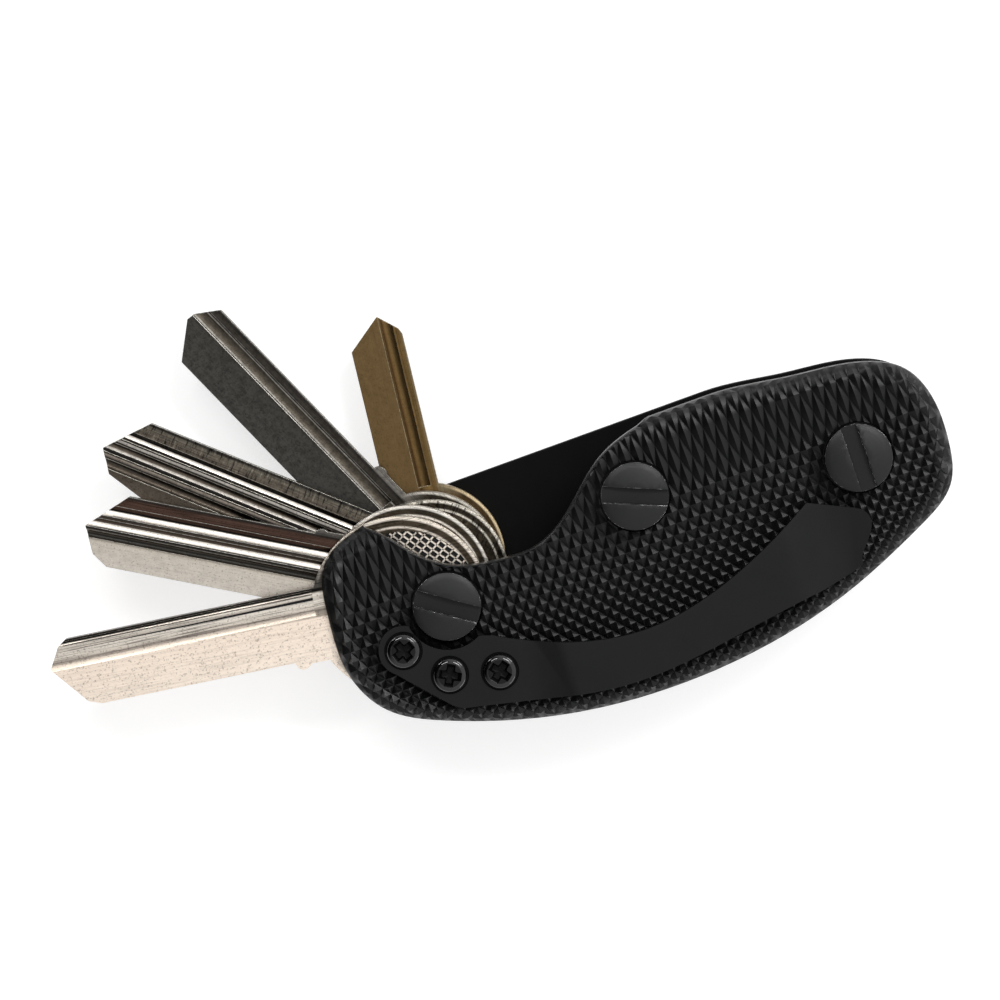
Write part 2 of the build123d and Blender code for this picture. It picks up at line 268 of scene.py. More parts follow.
class Plate:
    """One plate: knurled outer face, rolled rim, counterbores for the heads and a plain inner face.

    full is the outline without the thumb bite, which the rolled rim follows.
    """

    def __init__(self, node, z_out, z_in, full):
        self.up = 1 if z_out > z_in else -1
        self.z_out, self.z_in = z_out, z_in
        self.full = full
        self.border = anticlockwise(flat_loops(node, z_in)[0])
        self.shore = None      # the part of the border that is the bite
        heights = Counter(round(v.co.z / MM, 2) for v in NODES[node].data.vertices)
        levels = [z for z in heights if heights[z] > 100 and abs(z - z_in) > 0.01]
        self.roll = abs(z_out - min(levels, key=lambda z: abs(z - z_in)))
        self.seat_z = max((z for z in levels if abs(z - z_out) > 0.01), key=lambda z: heights[z])
        rings = sorted(len_of(loop) / 2 / math.pi for loop in flat_loops(node, self.seat_z))
        self.seat_r, self.post_r = rings[-1], rings[0]

    def rim_distances(self):
        turn = np.linspace(0, math.pi / 2, ROLL_STEPS + 1)[1:]
        return self.roll * (1 - np.cos(turn))

    def height(self, points, on_rim, bite_gap):
        """3-D place of each point of the outer face, from its place in plan."""
        gap, out = edge_distance(points, self.full)
        gap = np.where(on_rim, 0, gap)
        level = np.clip((self.roll - gap) / self.roll, 0, 1)
        drop = self.roll * (1 - np.sqrt(1 - level ** 2))
        depth = KNURL_DEPTH * (1 - knurl_height(points)) * smooth(gap, *RIM_FADE)
        if bite_gap is not None:
            share = smooth(bite_gap, BITE_RIM, BITE_RIM + BITE_STEP)
            depth = depth * share + 0.5 * KNURL_DEPTH * (1 - share)
            drop = drop + np.clip(BITE_RIM - bite_gap, 0, BITE_RIM)
        for x, y in POSTS:
            hole_gap = np.hypot(points[:, 0] - x, points[:, 1] - y) - self.seat_r
            drop = drop + np.clip(HEAD_RIM - hole_gap, 0, HEAD_RIM)
        sideways = out * (level * depth)[:, None]
        z = drop + depth * np.sqrt(1 - level ** 2)
        return np.column_stack([points - sideways, self.z_out - self.up * z])

    def outer_face(self):
        """Triangles of the outer face in plan, cut along every valley, ridge and rim line."""
        points, edges = [], []

        def add(loop, closed=True):
            base = sum(len(p) for p in points)
            points.append(loop)
            count = len(loop)
            edges.extend((base + i, base + (i + 1) % count)
                         for i in range(count if closed else count - 1))

        add(self.border)
        for x, y in POSTS:
            add(circle(x, y, self.seat_r))
            add(circle(x, y, self.seat_r + HEAD_RIM))
        for distance in self.rim_distances():
            add(inset(self.full, distance))
        bite = edge_distance(self.border, self.full)[0] > 0.05
        if bite.any():
            self.shore = self.border[bite]
            start = int(np.argmax(bite & ~np.roll(bite, 1)))
            shore = np.roll(self.border, -start, 0)[:bite.sum()]
            tangent = np.gradient(shore, axis=0)
            tangent /= np.linalg.norm(tangent, axis=1)[:, None]
            left = np.stack([-tangent[:, 1], tangent[:, 0]], 1)
            for distance in (BITE_RIM, BITE_RIM + BITE_STEP):
                add(shore + left * distance, closed=False)
        lines, line_edges = knurl_lines(self.full.min(0), self.full.max(0))
        base = sum(len(p) for p in points)
        points.append(lines)
        edges += [(base + a, base + b) for a, b in line_edges]
        corners = [Vector(p) for p in np.vstack(points)]
        cut = geometry.delaunay_2d_cdt(corners, edges, [], 0, 1e-3)
        plan = np.array([tuple(p) for p in cut[0]])
        faces = np.array(cut[2])
        middles = plan[faces].mean(1)
        keep = inside(middles, self.border)
        for x, y in POSTS:
            keep &= np.hypot(middles[:, 0] - x, middles[:, 1] - y) > self.seat_r * 0.999
        return plan, faces[keep]

    def build(self, name):
        plan, faces = self.outer_face()
        used = np.unique(faces)
        plan, faces = plan[used], np.searchsorted(used, faces)
        gap = edge_distance(plan, self.full)[0]
        border_gap = edge_distance(plan, self.border)[0]
        on_rim = (border_gap < 2e-3) & (gap < 0.02)
        bite_gap = None
        if self.shore is not None:
            a, b = self.shore[:-1], self.shore[1:]
            along = b - a
            bite_gap = np.full(len(plan), 1e9)
            for start, step in zip(a, along):
                share = np.clip(((plan - start) @ step) / (step @ step), 0, 1)
                near = np.linalg.norm(plan - start - share[:, None] * step, axis=1)
                bite_gap = np.minimum(bite_gap, near)
        place = self.height(plan, on_rim, bite_gap)
        mesh = bmesh.new()
        verts = [mesh.verts.new(p) for p in to_metres(place)]
        for face in faces:
            corners = face if self.up > 0 else face[::-1]
            mesh.faces.new([verts[i] for i in corners])
        self.add_walls(mesh)
        bmesh.ops.remove_doubles(mesh, verts=mesh.verts, dist=1e-7)
        bmesh.ops.recalc_face_normals(mesh, faces=mesh.faces)
        return finish_mesh(mesh, name, 25)

    def add_walls(self, mesh):
        """Side wall, counterbores, post holes and inner face, down from the outer face's border."""
        rows = []
        for loop in border_loops(mesh):
            co = np.array([v.co for v in loop]) / MM
            middle = co[:, :2].mean(0)
            post = [p for p in POSTS if np.hypot(*(middle - p)) < 0.5]
            if post and len(loop) < 400 and np.ptp(co[:, 0]) < 3 * self.seat_r:
                ray = co[:, :2] - post[0]
                ray /= np.linalg.norm(ray, axis=1)[:, None]
                steps = [(self.seat_r, self.seat_z), (self.post_r, self.seat_z),
                         (self.post_r, self.z_in)]
                rings = [(post[0] + ray * r, z) for r, z in steps]
            else:
                plan = co[:, :2]
                tangent = np.roll(plan, -1, 0) - np.roll(plan, 1, 0)
                tangent /= np.maximum(np.linalg.norm(tangent, axis=1), 1e-9)[:, None]
                inward = np.stack([-tangent[:, 1], tangent[:, 0]], 1)
                probe = inside(plan + 0.05 * inward, self.border).mean()
                toward = inward if probe > 0.5 else -inward
                rings = [(plan, self.z_in + self.up * FOOT_BEVEL),
                         (plan + toward * FOOT_BEVEL, self.z_in)]
            above = loop
            for plan, z in rings:
                below = [mesh.verts.new(Vector((*p, z)) * MM) for p in plan]
                count = len(loop)
                for i in range(count):
                    k = (i + 1) % count
                    mesh.faces.new((above[i], above[k], below[k], below[i]))
                above = below
            rows.append(above)
        flat = [v for row in rows for v in row]
        edges, base = [], 0
        for row in rows:
            edges += [(base + i, base + (i + 1) % len(row)) for i in range(len(row))]
            base += len(row)
        cut = geometry.delaunay_2d_cdt([Vector(v.co.xy / MM) for v in flat], edges, [], 0, 1e-5)
        loops = [np.array([v.co.xy for v in row]) / MM for row in rows]
        loops.sort(key=lambda loop: -len_of(loop))
        plan = np.array([tuple(p) for p in cut[0]])
        origin = [ids[0] if ids else None for ids in cut[3]]
        faces = np.array(cut[2])
        middles = plan[faces].mean(1)
        keep = inside(middles, loops[0])
        for hole in loops[1:]:
            keep &= ~inside(middles, hole)
        for face in faces[keep]:
            corners = [flat[origin[i]] for i in face if origin[i] is not None]
            if len(set(corners)) == 3 and mesh.faces.get(corners) is None:
                mesh.faces.new(corners)


def border_loops(mesh):
    """Open border loops of a bmesh as ordered vertex lists."""
    links = defaultdict(list)
    for edge in mesh.edges:
        if len(edge.link_faces) == 1:
            a, b = edge.verts
            links[a].append(b)
            links[b].append(a)
    mesh.verts.index_update()
    left = set(links)
    loops = []
    while left:
        start = min(left, key=lambda v: v.index)
        loop = [start]
        left.discard(start)
        while True:
            ahead = [v for v in links[loop[-1]] if v in left]
            if not ahead:
                break
            loop.append(ahead[0])
            left.discard(ahead[0])
        loops.append(loop)
    return loops


def finish_mesh(mesh, name, crease):
    """Turns a bmesh into an object, with edges over crease degrees kept sharp."""
    limit = math.radians(crease)
    for face in mesh.faces:
        face.smooth = True
    for edge in mesh.edges:
        edge.smooth = len(edge.link_faces) == 2 and edge.calc_face_angle(math.pi) < limit
    data = bpy.data.meshes.new(name)
    mesh.to_mesh(data)
    mesh.free()
    piece = bpy.data.objects.new(name, data)
    bpy.context.scene.collection.objects.link(piece)
    return piece


# ---- materials ----
class Paint:
    """A Principled material and short ways to wire its nodes."""

    def __init__(self, name, **fixed):
        self.material = bpy.data.materials.new(name)
        self.material.use_nodes = True
        self.tree = self.material.node_tree
        self.shader = self.tree.nodes["Principled BSDF"]
        for socket, value in fixed.items():
            self.shader.inputs[socket.replace("_", " ")].default_value = value

    def node(self, kind, **inputs):
        made = self.tree.nodes.new(kind)
        for socket, value in inputs.items():
            self.put(made.inputs[socket.replace("_", " ")], value)
        return made

    def put(self, socket, value):
        if isinstance(value, bpy.types.NodeSocket):
            self.tree.links.new(value, socket)
        else:
            socket.default_value = value

    def math(self, operation, a, b=0.0, c=0.0):
        made = self.tree.nodes.new("ShaderNodeMath")
        made.operation = operation
        for socket, value in zip(made.inputs, (a, b, c)):
            self.put(socket, value)
        return made.outputs[0]

    def ramp(self, value, stops, tone=(1.0, 1.0, 1.0)):
        """Colour ramp; stops are (place, grey or colour), and greys take the tone."""
        made = self.tree.nodes.new("ShaderNodeValToRGB")
        ramp = made.color_ramp
        while len(ramp.elements) < len(stops):
            ramp.elements.new(0.5)
        for element, (place, colour) in zip(ramp.elements, stops):
            element.position = place
            rgb = tuple(colour * c for c in tone) if isinstance(colour, (int, float)) else colour
            element.color = (*rgb, 1)
        self.put(made.inputs[0], value)
        return made.outputs[0]

    def mix(self, share, a, b, blend="MIX"):
        made = self.tree.nodes.new("ShaderNodeMix")
        made.data_type = "RGBA"
        made.blend_type = blend
        self.put(made.inputs[0], share)
        for socket, value in ((made.inputs[6], a), (made.inputs[7], b)):
            if isinstance(value, tuple) and len(value) == 3:
                value = (*value, 1)
            self.put(socket, value)
        return made.outputs[2]

    def place(self, turn=0.0, scale=(1.0, 1.0, 1.0)):
        """Object coordinates in millimetres, turned about Z and stretched."""
        coords = self.tree.nodes.new("ShaderNodeTexCoord").outputs["Object"]
        spin = self.node("ShaderNodeMapping", Vector=coords)
        spin.inputs["Rotation"].default_value = (0, 0, -math.radians(turn))
        spin.inputs["Scale"].default_value = (1 / MM, 1 / MM, 1 / MM)
        if scale == (1.0, 1.0, 1.0):
            return spin.outputs[0]
        stretch = self.node("ShaderNodeMapping", Vector=spin.outputs[0])
        stretch.inputs["Scale"].default_value = scale
        return stretch.outputs[0]

    def noise(self, where, scale, detail=3.0, rough=0.55):
        made = self.node("ShaderNodeTexNoise", Vector=where, Scale=scale, Detail=detail, Roughness=rough)
        return made.outputs["Fac"]

    def bump(self, height, strength, distance, after=None):
        made = self.node("ShaderNodeBump", Height=height, Strength=strength, Distance=distance)
        if after is not None:
            self.put(made.inputs["Normal"], after)
        return made.outputs[0]

    def colour(self, value):
        self.put(self.shader.inputs["Base Color"], value)

    def rough(self, value):
        self.put(self.shader.inputs["Roughness"], value)

    def normal(self, value):
        self.put(self.shader.inputs["Normal"], value)


def black_metal(name, tone, rough, spread, grain, specular):
    """Blackened metal: near-black colour with fine grain, faint cloudy wear and an uneven sheen."""
    paint = Paint(name, Specular_IOR_Level=specular)
    where = paint.place()
    cloud = paint.noise(where, 0.35, 4.0)
    fine = paint.noise(where, 9.0, 2.0)
    paint.colour(paint.ramp(cloud, [(0.3, tuple(tone * c for c in (0.85, 0.87, 0.9))),
                                    (0.7, tuple(tone * c for c in (1.15, 1.15, 1.2)))]))
    sheen = paint.math("MULTIPLY_ADD", cloud, spread, rough - spread / 2)
    paint.rough(paint.math("MULTIPLY_ADD", fine, spread * 0.6, sheen))
    paint.normal(paint.bump(fine, grain, 0.00002))
    return paint.material


def turned_metal(name, dull, bright):
    """Plain turned metal with fine grain, dull in some places and bright in others."""
    paint = Paint(name, Metallic=1.0)
    where = paint.place()
    fine = paint.noise(where, 6.0, 3.0)
    paint.colour(paint.ramp(fine, [(0.35, dull), (0.7, bright)]))
    paint.rough(paint.math("MULTIPLY_ADD", fine, 0.2, 0.25))
    paint.normal(paint.bump(fine, 0.3, 0.00001))
    return paint.material


def key_metal(name, tint, bands, rough, speckle, cloudy, scratch, lined, bow, ring, ticked=0.0):
    """Struck key blank: lengthwise bands, partly the metal's tone and partly painted highlights and shade
    of its grooves, fine drawn lines, specks, and a tarnished bow with painted highlight rings.
    """
    bearing, off, width = KEY_LINES[name]
    paint = Paint(f"{name}_metal", Metallic=1.0)
    where = paint.place(bearing)
    parts = paint.node("ShaderNodeSeparateXYZ", Vector=where)
    across = paint.math("SUBTRACT", parts.outputs[1], off)
    share = paint.math("MULTIPLY_ADD", across, 1 / width, 0.5)
    wobble = paint.noise(paint.place(bearing, (0.25, 1.6, 1.0)), 1.0, 2.0)
    share = paint.math("ADD", share, paint.math("MULTIPLY_ADD", wobble, 0.012, -0.006))
    cloud = paint.noise(where, 0.5, 4.0, 0.6)
    dull = paint.ramp(cloud, [(0.35, tuple(0.7 * c for c in bow)), (0.65, tuple(1.4 * c for c in bow))])
    start = BOW_ENDS[name]
    on_blade = paint.ramp(paint.math("MULTIPLY", parts.outputs[0], 1 / start), [(0.84, 0.0), (1.0, 1.0)])
    bow_x, bow_r = ring
    from_bow = paint.node("ShaderNodeCombineXYZ", Y=across,
                          X=paint.math("SUBTRACT", parts.outputs[0], bow_x))
    radial = paint.tree.nodes.new("ShaderNodeVectorMath")
    radial.operation = "LENGTH"
    paint.put(radial.inputs[0], from_bow.outputs[0])
    # Bright rings near the bow's edge, in the key's tint: painted highlights.
    rim_highlight = paint.ramp(paint.math("MULTIPLY", radial.outputs["Value"], 1 / bow_r), RIM_HIGHLIGHTS)
    dull = paint.mix(rim_highlight, dull, tint)
    # The blade's lengthwise bands: partly the metal's tone, partly painted highlights and shade of the
    # grooves.
    base = paint.mix(on_blade, dull, paint.ramp(share, bands, WARM))
    drawn = paint.noise(paint.place(bearing, (0.08, 5.0, 1.0)), 1.6, 4.0, 0.6)
    lines = paint.ramp(drawn, [(0.4, 1.0 - scratch), (0.52, 1.0)])
    here = paint.ramp(share, [(lined, 1.0), (lined + 0.02, 0.25)])
    base = paint.mix(here, base, paint.mix(1.0, base, lines, "MULTIPLY"))
    if ticked:
        marks = paint.noise(paint.place(bearing, (3.0, 0.5, 1.0)), 1.0, 3.0, 0.6)
        cut = paint.ramp(marks, [(0.38, 0.25), (0.46, 1.0), (0.6, 1.0), (0.68, 1.9)])
        here = paint.ramp(share, [(ticked, 1.0), (ticked + 0.02, 0.0)])
        base = paint.mix(here, base, paint.mix(1.0, base, cut, "MULTIPLY"))
    blotch = paint.noise(where, 1.3, 5.0, 0.7)
    base = paint.mix(1.0, base, paint.ramp(blotch, [(0.36, 1.0 - cloudy), (0.6, 1.0)]), "MULTIPLY")
    dots = paint.noise(where, 4.0, 2.0, 0.6)
    base = paint.mix(1.0, base, paint.ramp(dots, [(0.34, 1.0 - speckle), (0.43, 1.0)]), "MULTIPLY")
    paint.colour(base)
    paint.rough(paint.math("MULTIPLY_ADD", dots, 0.16, rough - 0.08))
    bump = paint.bump(drawn, 0.15, 0.00002)
    paint.normal(paint.bump(dots, 0.2, 0.00002, bump))
    return paint.material


def key_edge_highlight(name, tint):
    """Edge of a key, lighter than its faces in uneven patches: painted highlight."""
    paint = Paint(name, Metallic=1.0)
    wear_and_highlight_noise = paint.noise(paint.place(), 1.5, 3.0)
    paint.colour(paint.ramp(wear_and_highlight_noise, [(0.35, tuple(0.55 * c for c in tint)), (0.55, tint)]))
    paint.rough(paint.math("MULTIPLY_ADD", wear_and_highlight_noise, 0.2, 0.18))
    return paint.material


def worn_edge():
    """Edge of a blackened head, with the black worn off in a few places."""
    paint = Paint("worn_edge", Specular_IOR_Level=0.5, Metallic=0.6)
    wear_and_highlight_noise = paint.noise(paint.place(), 1.2, 4.0, 0.7)
    paint.colour(paint.ramp(wear_and_highlight_noise, [(0.46, 0.02), (0.54, 0.1), (0.62, 0.6)]))
    paint.rough(paint.math("MULTIPLY_ADD", wear_and_highlight_noise, 0.2, 0.2))
    return paint.material


WARM = (1.0, 0.93, 0.84)   # tone of the keys' greys
# painted highlights round a bow, bright lines in place of its lit edges: (share of its radius, how
# bright)
RIM_HIGHLIGHTS = [(0.0, 0.0), (0.86, 0.0), (0.88, 0.9), (0.9, 0.0), (0.955, 0.0), (0.975, 1.0), (1.0, 1.0)]
# Where each bow ends and the blade begins, from the pivot, in millimetres.
BOW_ENDS = {"key_1": 16.5, "key_2": 15.0, "key_3": 12.0, "key_4": 14.3, "key_5": 15.3}

# bands: (share of the blade's width from its right edge to its left, colour); the colours are partly the
# metal's tone, partly painted highlights and shade of the grooves
# ring: bow centre from the pivot and bow radius, which place the painted highlight rings; bow: colour of
# the tarnished bow
# lined, ticked: share of the width that carries the drawn lines, and the marks across them
# speckle, cloudy, scratch: how dark the specks, the blotches and the drawn lines are
KEY_LOOKS = {
    "key_1": dict(
        tint=(0.98, 0.88, 0.76), ring=(6.1, 11.9), bow=(0.055, 0.043, 0.03), lined=0.33,
        bands=[(0.0, 0.08), (0.02, 0.01), (0.055, 0.015), (0.07, (0.6, 0.54, 0.47)),
               (0.1, (0.95, 0.88, 0.78)), (0.13, (0.6, 0.54, 0.47)), (0.2, (0.85, 0.78, 0.69)),
               (0.29, (0.66, 0.59, 0.51)), (0.315, (0.2, 0.17, 0.15)), (0.33, (0.3, 0.26, 0.22)),
               (0.41, (0.42, 0.36, 0.3)), (0.43, (1.0, 0.85, 0.715)), (1.0, (1.0, 0.87, 0.745))],
        rough=0.34, speckle=0.45, cloudy=0.06, scratch=0.6),
    "key_2": dict(
        tint=(0.95, 0.9, 0.82), ring=(5.3, 11.2), bow=(0.042, 0.034, 0.024), lined=0.2,
        bands=[(0.0, 0.12), (0.02, 0.02), (0.06, (0.085, 0.05, 0.038)), (0.19, (0.07, 0.042, 0.032)),
               (0.215, 0.008), (0.23, 0.01), (0.24, 1.0), (0.3, 1.0), (0.312, 0.03),
               (0.35, (0.055, 0.042, 0.033)), (0.41, (0.1, 0.078, 0.062)), (0.42, 1.0), (0.47, 1.0),
               (0.487, 0.012), (0.52, 0.02), (0.55, (0.16, 0.135, 0.11)), (0.58, 0.02), (0.62, 0.04),
               (0.65, (0.3, 0.26, 0.21)), (0.68, (0.64, 0.58, 0.5)), (0.93, (0.66, 0.6, 0.53)),
               (1.0, (0.7, 0.64, 0.56))],
        rough=0.3, speckle=0.3, cloudy=0.15, scratch=0.5),
    "key_3": dict(
        tint=(0.92, 0.86, 0.75), ring=(3.1, 10.4), bow=(0.038, 0.031, 0.022), lined=0.24, ticked=0.22,
        bands=[(0.0, 0.1), (0.03, 0.02), (0.06, (0.17, 0.15, 0.12)), (0.2, (0.12, 0.1, 0.08)),
               (0.235, 0.012), (0.255, 0.012), (0.265, 1.0), (0.3, 0.9), (0.31, 0.02), (0.36, 0.03),
               (0.37, 0.5), (0.39, 0.45), (0.4, 0.03), (0.45, (0.07, 0.056, 0.045)),
               (0.49, (0.2, 0.165, 0.13)), (0.5, 0.6), (0.52, 0.5), (0.53, 0.015), (0.59, 0.03),
               (0.61, (0.35, 0.3, 0.25)), (0.64, 0.03), (0.72, (0.085, 0.07, 0.055)),
               (0.84, (0.09, 0.075, 0.06)), (1.0, (0.16, 0.13, 0.1))],
        rough=0.3, speckle=0.35, cloudy=0.3, scratch=0.5),
    "key_4": dict(
        tint=(0.8, 0.76, 0.68), ring=(5.1, 10.4), bow=(0.038, 0.032, 0.023), lined=0.2,
        bands=[(0.0, 0.2), (0.03, 0.03), (0.1, (0.055, 0.048, 0.04)), (0.16, 0.03), (0.168, 0.5),
               (0.178, 0.5), (0.186, (0.09, 0.078, 0.061)), (0.3, (0.085, 0.073, 0.058)),
               (0.32, (0.045, 0.04, 0.032)), (0.342, 0.16), (0.352, 0.16), (0.36, 0.03),
               (0.42, (0.055, 0.052, 0.047)), (1.0, (0.062, 0.059, 0.054))],
        rough=0.38, speckle=0.3, cloudy=0.4, scratch=0.4),
    "key_5": dict(
        tint=(0.75, 0.6, 0.38), ring=(5.7, 10.4), bow=(0.055, 0.035, 0.016), lined=0.2,
        bands=[(0.0, (0.2, 0.16, 0.1)), (0.05, (0.15, 0.095, 0.036)), (0.1, (0.12, 0.074, 0.028)),
               (0.18, (0.22, 0.14, 0.056)), (0.27, (0.13, 0.08, 0.031)), (0.34, (0.06, 0.032, 0.012)),
               (0.37, (0.14, 0.09, 0.04)), (0.46, (0.128, 0.082, 0.036)), (1.0, (0.13, 0.084, 0.037))],
        rough=0.42, speckle=0.2, cloudy=0.15, scratch=0.3),
}
# How bright the painted highlight on each key's softened edges is, as a share of its tint.
EDGE_HIGHLIGHT_SHARE = {"key_1": 0.9, "key_2": 0.5, "key_3": 0.45, "key_4": 0.22, "key_5": 0.3}


# ---- carried-over frame nodes ----
def dress(node, material, bevel=0.12, crease=30, edge=None, sunk=None):
    """Frame node with its material, its flat faces joined and its edges softened.

    edge is the material of the softened edges; sunk is (material, test) for the faces that pass the test.
    """
    piece = NODES[node]
    materials = piece.data.materials
    materials.clear()
    materials.append(material)
    for face in piece.data.polygons:
        face.use_smooth = True
        face.material_index = 0
    if sunk:
        materials.append(sunk[0])
        for face in piece.data.polygons:
            if sunk[1](face):
                face.material_index = 1
    weld = piece.modifiers.new("join", "WELD")
    weld.merge_threshold = 1e-6
    flat = piece.modifiers.new("flats", "DECIMATE")
    flat.decimate_type = "DISSOLVE"
    flat.angle_limit = math.radians(0.6)
    soft = piece.modifiers.new("edges", "BEVEL")
    soft.width = bevel * MM
    soft.segments = 2
    soft.limit_method = "ANGLE"
    soft.angle_limit = math.radians(crease)
    if edge:
        materials.append(edge)
        soft.material = len(materials) - 1
    piece.modifiers.new("facing", "WEIGHTED_NORMAL")
    return piece


def below(z):
    """Test for faces that lie wholly under z millimetres."""
    return lambda face: face.center.z / MM < z


def upward_at(z):
    """Test for faces that look up at z millimetres."""
    return lambda face: abs(face.center.z / MM - z) < 0.01 and face.normal.z > 0.9


# ---- pocket clip ----
def build_clip(material, recess):
    """Pad and springy arm as one bent strip, welded where the frame splits it."""
    mesh = bmesh.new()
    for node in ("clip_base", "clip_arm"):
        mesh.from_mesh(NODES[node].data)
    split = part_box("clip_arm")[0].x
    caps = [f for f in mesh.faces if all(abs(v.co.x - split) < 1e-6 for v in f.verts)]
    bmesh.ops.delete(mesh, geom=caps, context="FACES")
    bmesh.ops.remove_doubles(mesh, verts=mesh.verts, dist=2e-6)
    bmesh.ops.dissolve_limit(mesh, angle_limit=math.radians(0.6), verts=mesh.verts, edges=mesh.edges)
    bmesh.ops.recalc_face_normals(mesh, faces=mesh.faces)
    sharp = [e for e in mesh.edges if len(e.link_faces) == 2 and e.calc_face_angle(0) > math.radians(30)]
    bmesh.ops.bevel(mesh, geom=sharp, offset=CLIP_BEVEL * MM, segments=3, profile=0.5, affect="EDGES",
                    clamp_overlap=True)
    clip = finish_mesh(mesh, "pocket_clip", 35)
    clip.data.materials.append(material)
    clip.data.materials.append(recess)
    # The floor of the ring round each screw takes the recess material: painted shade.
    ring_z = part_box("clip_base")[1].z - CLIP_RING_DEPTH * MM
    for face in clip.data.polygons:
        near = abs(face.center.z - ring_z) < CLIP_BEVEL * MM and face.center.x < split
        if near and face.normal.z > 0.9:
            face.material_index = 1
    clip.modifiers.new("facing", "WEIGHTED_NORMAL")
    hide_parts("clip_base", "clip_arm")
    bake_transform(clip)
    return clip


# ---- crosshatch on the first key's bow ----
def build_crosshatch(material):
    """Raised grid in the sunk panel of the front key's bow, clear of its washer."""
    bearing, off, _ = KEY_LINES["key_1"]
    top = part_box("key_1")[1].z / MM
    floor, ridge = top - PANEL_DEPTH, top - RIDGE_DROP
    turn = Matrix.Rotation(math.radians(bearing), 3, "Z")
    mesh = bmesh.new()

    def spans(angle, shift):
        """Stretches of a line that lie in the panel and outside the washer's land."""
        run = Vector((math.cos(angle), math.sin(angle)))
        side = Vector((-run.y, run.x)) * shift
        if abs(shift) >= PANEL_R - 0.1:
            return []
        half = math.sqrt(PANEL_R ** 2 - shift ** 2)
        hub = Vector((-PANEL_X, -off)) - side
        along, away = hub.dot(run), abs(hub.dot(Vector((-run.y, run.x))))
        cuts = [(-half, half)]
        if away < LAND_R:
            reach = math.sqrt(LAND_R ** 2 - away ** 2)
            cuts = [(-half, along - reach), (along + reach, half)]
        return [(side + run * a, side + run * b, run) for a, b in cuts if b - a > 0.5]

    def ridge_bar(a, b, run, foot, crest):
        side = Vector((-run.y, run.x))
        rings = []
        for end, inward in ((a, 0.1), (b, -0.1)):
            ring_points = []
            for offset, z, back in ((-foot, floor, 0), (-crest, ridge, inward),
                                    (crest, ridge, inward), (foot, floor, 0)):
                flat = end + side * offset + run * back + Vector((PANEL_X, 0))
                local = turn @ Vector((flat.x, flat.y + off, 0))
                ring_points.append(mesh.verts.new((local.x * MM, local.y * MM, z * MM)))
            rings.append(ring_points)
        first, last = rings
        for i in range(4):
            k = (i + 1) % 4
            mesh.faces.new((first[i], first[k], last[k], last[i]))
        mesh.faces.new(first[::-1])
        mesh.faces.new(last)

    for angle, pitch in RIDGE_LINES:
        count = int(PANEL_R / pitch)
        for step in range(-count, count + 1):
            for a, b, run in spans(math.radians(angle), step * pitch):
                ridge_bar(a, b, run, RIDGE_FOOT, RIDGE_CREST)
    bmesh.ops.recalc_face_normals(mesh, faces=mesh.faces)
    grid = finish_mesh(mesh, "bow_crosshatch", 20)
    grid.data.materials.append(material)
    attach(grid, "key_1_body")
    return grid


# ---- clip screws ----
def cross_edge(turn, length, width):
    """Distance from the axis to the edge of a cross recess with rounded inner corners."""
    arms = []
    for quarter in (0, math.pi / 2):
        c, n = abs(np.cos(turn + quarter)), abs(np.sin(turn + quarter))
        arms.append(np.minimum(length / 2 / np.maximum(c, 1e-6), width / 2 / np.maximum(n, 1e-6)))
    return (arms[0] ** 6 + arms[1] ** 6) ** (1 / 6)


def build_clip_screw(number, turn, gloss, flat, recess):
    """Pan head with a glossy rolled edge and a tapered cross recess, and its shank."""
    node = f"clip_screw_{number}"
    x, y, low, top = centre_of(node)
    head_r = (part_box(node)[1].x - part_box(node)[0].x) / 2 / MM
    angle = np.arange(SCREW_SIDES) * 2 * math.pi / SCREW_SIDES
    edge = cross_edge(angle, CROSS_LENGTH, CROSS_WIDTH)
    flat_r = head_r - SCREW_ROLL_R
    # (radius, height above the top) of each ring, from the middle of the recess outwards
    rings = [(edge * 0.3, -CROSS_DEPTH), (edge * 0.72, 0.1 - CROSS_DEPTH), (edge * 0.97, -0.08),
             (edge + 0.05, -0.01)]
    rings.append((np.maximum(edge + 0.08, flat_r), -0.02))
    for step in np.linspace(0, math.pi / 2, 7)[1:]:
        rings.append((flat_r + SCREW_ROLL_R * math.sin(step),
                      SCREW_ROLL_R * (math.cos(step) - 1) - 0.02))
    rings += [(head_r, -SCREW_HEAD_H), (SCREW_SHANK_R, -SCREW_HEAD_H),
              (SCREW_SHANK_R, low - top + SCREW_CHAMFER), (SCREW_SHANK_R - SCREW_CHAMFER, low - top)]
    mesh = bmesh.new()
    rows = []
    for radius, z in rings:
        radius = np.broadcast_to(radius, angle.shape)
        spin = angle + math.radians(turn)
        places = [Vector((x + q * math.cos(a), y + q * math.sin(a), top + z))
                  for q, a in zip(radius, spin)]
        rows.append([mesh.verts.new(place * MM) for place in places])
    # The recess's walls and floor take the recess material, a painted shade; its top edge and the flat
    # top take the dull black, the rest the gloss.
    for level, (inner, outer) in enumerate(zip(rows, rows[1:])):
        for i in range(SCREW_SIDES):
            k = (i + 1) % SCREW_SIDES
            face = mesh.faces.new((inner[i], outer[i], outer[k], inner[k]))
            face.material_index = 2 if level < 2 else int(level < 4)
    mesh.faces.new(rows[0]).material_index = 2
    mesh.faces.new(rows[-1][::-1])
    bmesh.ops.recalc_face_normals(mesh, faces=mesh.faces)
    screw = finish_mesh(mesh, f"{node}_head", 40)
    for material in (gloss, flat, recess):
        screw.data.materials.append(material)
    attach(screw, "frame")
    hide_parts(node)


def in_notch_shade(point):
    """The strip of plate between the pivot head and the clip's pad, painted dark as shade."""
    from_pivot = math.hypot(point.x, point.y)
    return from_pivot < NOTCH_SHADE_R and point.y < NOTCH_SHADE_BELOW and NOTCH_SHADE_X[0] < point.x < NOTCH_SHADE_X[1]


